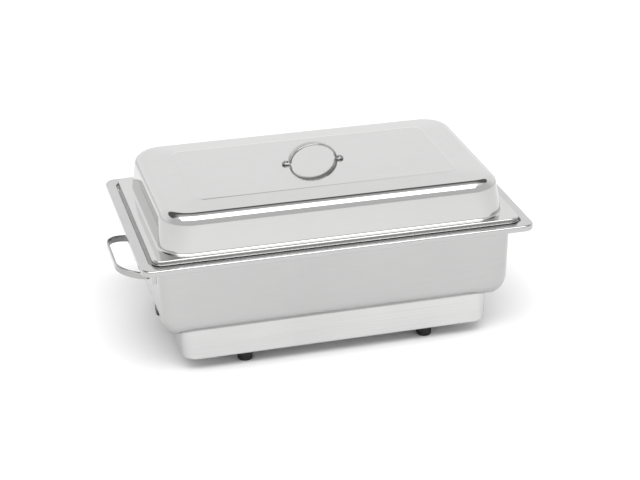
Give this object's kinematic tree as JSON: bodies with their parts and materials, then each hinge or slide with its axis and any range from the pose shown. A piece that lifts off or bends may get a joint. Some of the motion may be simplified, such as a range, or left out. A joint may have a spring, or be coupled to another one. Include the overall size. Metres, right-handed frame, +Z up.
{
  "type": "electric chafing dish",
  "caption": "Full-size rectangular electric chafing dish: water basin on a heater housing, lift-out food pan and lift-off domed lid, thermostat knob, loop handles and rubber feet.",
  "frame": {"origin": "on the table, under the middle of the dish, midway between the end handles", "axes": "+X along the long side towards the right end handle (the thermostat is on the -X end), +Y from front to back, +Z up"},
  "size_m": [0.6046, 0.357, 0.275],
  "materials": {
    "mirror_steel": "mirror polished stainless steel",
    "satin_steel": "drawn stainless steel, semi-bright satin",
    "brushed_steel": "stainless steel, fine horizontal brushing",
    "zinc_steel": "zinc-plated steel",
    "black_rubber": "moulded, matte",
    "aluminium_plate": "mill finish",
    "element_sheath": "oxidised steel sheath",
    "ceramic": "steatite terminal bead",
    "mineral_wool": "pressed mineral fibre",
    "black_plastic": "moulded, fine grain",
    "brass": "turned",
    "amber_lens": "translucent",
    "copper": "drawn copper tube",
    "brown_insulation": "heat-resistant sleeve",
    "blue_insulation": "heat-resistant sleeve",
    "green_insulation": "heat-resistant sleeve"
  },
  "bodies": {
    "dish": {"left_handle": "mirror_steel", "right_handle": "mirror_steel", "water_basin": "satin_steel", "left_handle_rivet_front": "satin_steel", "left_handle_rivet_rear": "satin_steel", "right_handle_rivet_front": "satin_steel", "right_handle_rivet_rear": "satin_steel", "flange_peg": "satin_steel", "heater_housing": "brushed_steel", "dial_plate": "brushed_steel", "base_plate": "zinc_steel", "base_screw_front_left": "zinc_steel", "base_screw_front_right": "zinc_steel", "base_screw_rear_left": "zinc_steel", "base_screw_rear_right": "zinc_steel", "foot_screw_front_left": "zinc_steel", "foot_screw_front_right": "zinc_steel", "foot_screw_rear_left": "zinc_steel", "foot_screw_rear_right": "zinc_steel", "element_clamp_left": "zinc_steel", "element_clamp_right": "zinc_steel", "heater_stud_front_left": "zinc_steel", "heater_stud_front_right": "zinc_steel", "heater_stud_rear_left": "zinc_steel", "heater_stud_rear_right": "zinc_steel", "thermal_cutout": "zinc_steel", "bulb_clip": "zinc_steel", "foot_front_left": "black_rubber", "foot_front_right": "black_rubber", "foot_rear_left": "black_rubber", "foot_rear_right": "black_rubber", "heat_spreader": "aluminium_plate", "heating_element": "element_sheath", "element_terminal_front": "ceramic", "element_terminal_rear": "ceramic", "insulation_pad": "mineral_wool", "thermostat_body": "black_plastic", "pilot_lamp": "black_plastic", "mains_inlet": "black_plastic", "thermostat_nut": "brass", "inlet_pins": "brass", "earth_stud": "brass", "pilot_lens": "amber_lens", "sensing_bulb": "copper", "capillary": "copper", "wire_live": "brown_insulation", "wire_switched": "brown_insulation", "wire_neutral": "blue_insulation", "wire_earth": "green_insulation"},
    "pan": {"food_pan": "satin_steel"},
    "lid": {"lid_shell": "mirror_steel", "lid_handle": "mirror_steel", "lid_handle_rivet_left": "mirror_steel", "lid_handle_rivet_right": "mirror_steel"},
    "knob": {"thermostat_knob": "black_plastic", "thermostat_spindle": "brass"}
  },
  "joints": [
    {"name": "pan_lift", "type": "slide", "parent": "dish", "child": "pan", "axis": [0, 0, 1], "range_m": [0, 0.1]},
    {"name": "lid_lift", "type": "slide", "parent": "pan", "child": "lid", "axis": [0, 0, 1], "range_m": [0, 0.12]},
    {"name": "thermostat_turn", "type": "hinge", "parent": "dish", "child": "knob", "pos_m": [-0.235, 0, 0.042], "axis": [-1, 0, 0], "range_deg": [0, 270]}
  ]
}
